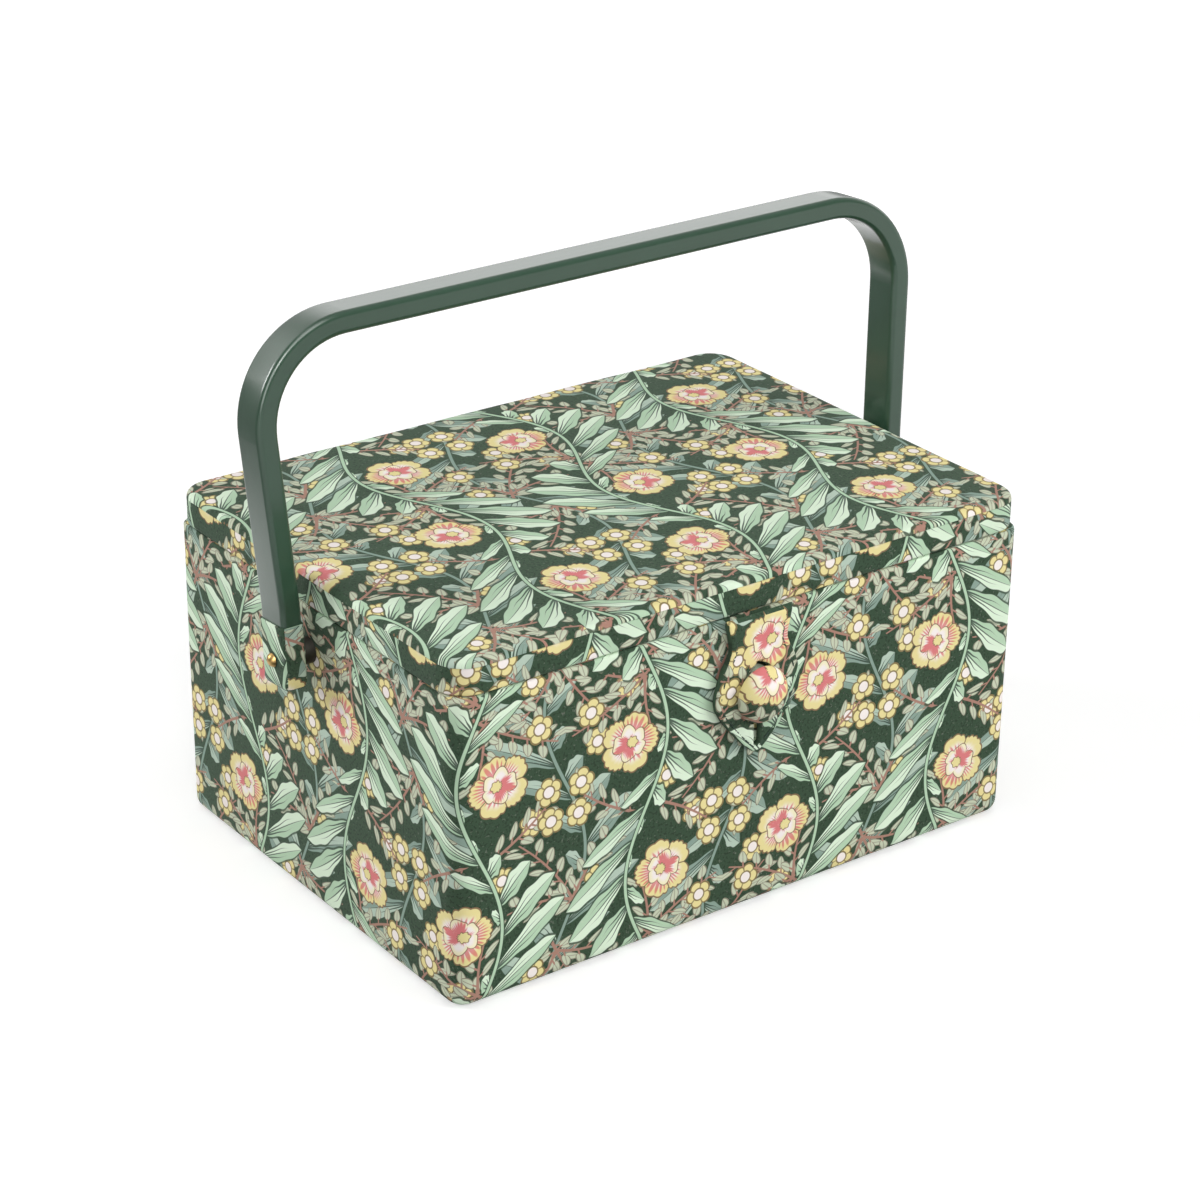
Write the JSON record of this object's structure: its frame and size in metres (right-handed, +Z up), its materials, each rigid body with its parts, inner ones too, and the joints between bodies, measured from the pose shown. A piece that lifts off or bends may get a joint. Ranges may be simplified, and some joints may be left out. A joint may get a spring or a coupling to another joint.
{
  "type": "sewing box",
  "caption": "Cloth-covered sewing box with a padded hinged lid, a loop and button closure, a bent wooden handle on rivets, and a lift-out tray.",
  "frame": {"origin": "middle of the underside, on the surface that the box stands on", "axes": "+Z up, +X along the long sides, the closure faces -Y and the hinge +Y"},
  "size_m": [0.2978, 0.2025, 0.231],
  "materials": {
    "print_cloth": "matte printed cotton",
    "lining_cloth": "plain satin lining",
    "board": "raw fibreboard",
    "painted_wood": "satin dark green paint",
    "brass": "polished",
    "steel": "plated",
    "wadding": "white polyester wadding",
    "tray_plastic": "moulded, satin",
    "base_cloth": "dark green felt",
    "cushion_cloth": "green satin"
  },
  "bodies": {
    "base": {"bottom_board": "board", "front_wall": "board", "back_wall": "board", "left_wall": "board", "right_wall": "board", "body_cover": "print_cloth", "base_cloth": "base_cloth", "wall_lining": "lining_cloth", "base_pad": "lining_cloth", "tray_ledge_left": "lining_cloth", "tray_ledge_right": "lining_cloth", "button_dome": "print_cloth", "button_stem": "steel", "button_washer": "steel", "hinge_cloth": "print_cloth"},
    "rivets": {"rivet_left": "brass", "rivet_right": "brass", "spacer_left": "board", "spacer_right": "board", "rivet_washer_left": "steel", "rivet_washer_right": "steel"},
    "handle": {"handle_bow": "painted_wood", "handle_ear_left": "print_cloth", "handle_ear_right": "print_cloth"},
    "lid": {"lid_board": "board", "lid_rim_front": "board", "lid_rim_back": "board", "lid_rim_left": "board", "lid_rim_right": "board", "lid_wadding": "wadding", "lid_cover": "print_cloth", "lid_lining": "lining_cloth", "pincushion": "cushion_cloth", "lid_pocket": "lining_cloth", "pocket_elastic": "cushion_cloth"},
    "loop": {"closure_loop": "print_cloth"},
    "tray": {"tray_shell": "tray_plastic", "tray_divider_long": "tray_plastic", "tray_divider_short_1": "tray_plastic", "tray_divider_short_2": "tray_plastic", "tray_divider_short_3": "tray_plastic"}
  },
  "joints": [
    {"name": "lid_hinge", "type": "hinge", "parent": "base", "child": "lid", "pos_m": [0, 0.0953, 0.1232], "axis": [-1, 0, 0], "range_deg": [0, 100], "deforming": ["hinge_cloth"]},
    {"name": "rivet_turn", "type": "hinge", "parent": "base", "child": "rivets", "pos_m": [0, -0.0013, 0.1064], "axis": [-1, 0, 0], "range_deg": [0, 95]},
    {"name": "handle_swing", "type": "hinge", "parent": "rivets", "child": "handle", "pos_m": [0, -0.0013, 0.1064], "axis": [-1, 0, 0], "range_deg": [-120, 15]},
    {"name": "tray_lift", "type": "slide", "parent": "base", "child": "tray", "axis": [0, 0, 1], "range_m": [0, 0.04]},
    {"name": "loop_flap", "type": "hinge", "parent": "lid", "child": "loop", "pos_m": [0, -0.0971, 0.1232], "axis": [-1, 0, 0], "range_deg": [0, 120], "deforming": ["closure_loop"]}
  ],
  "couplings": [
    {"joint": "rivet_turn", "follows": "lid_hinge", "ratio": 0.95},
    {"joint": "tray_lift", "follows": "lid_hinge", "m_per_rad": 0.0229}
  ]
}
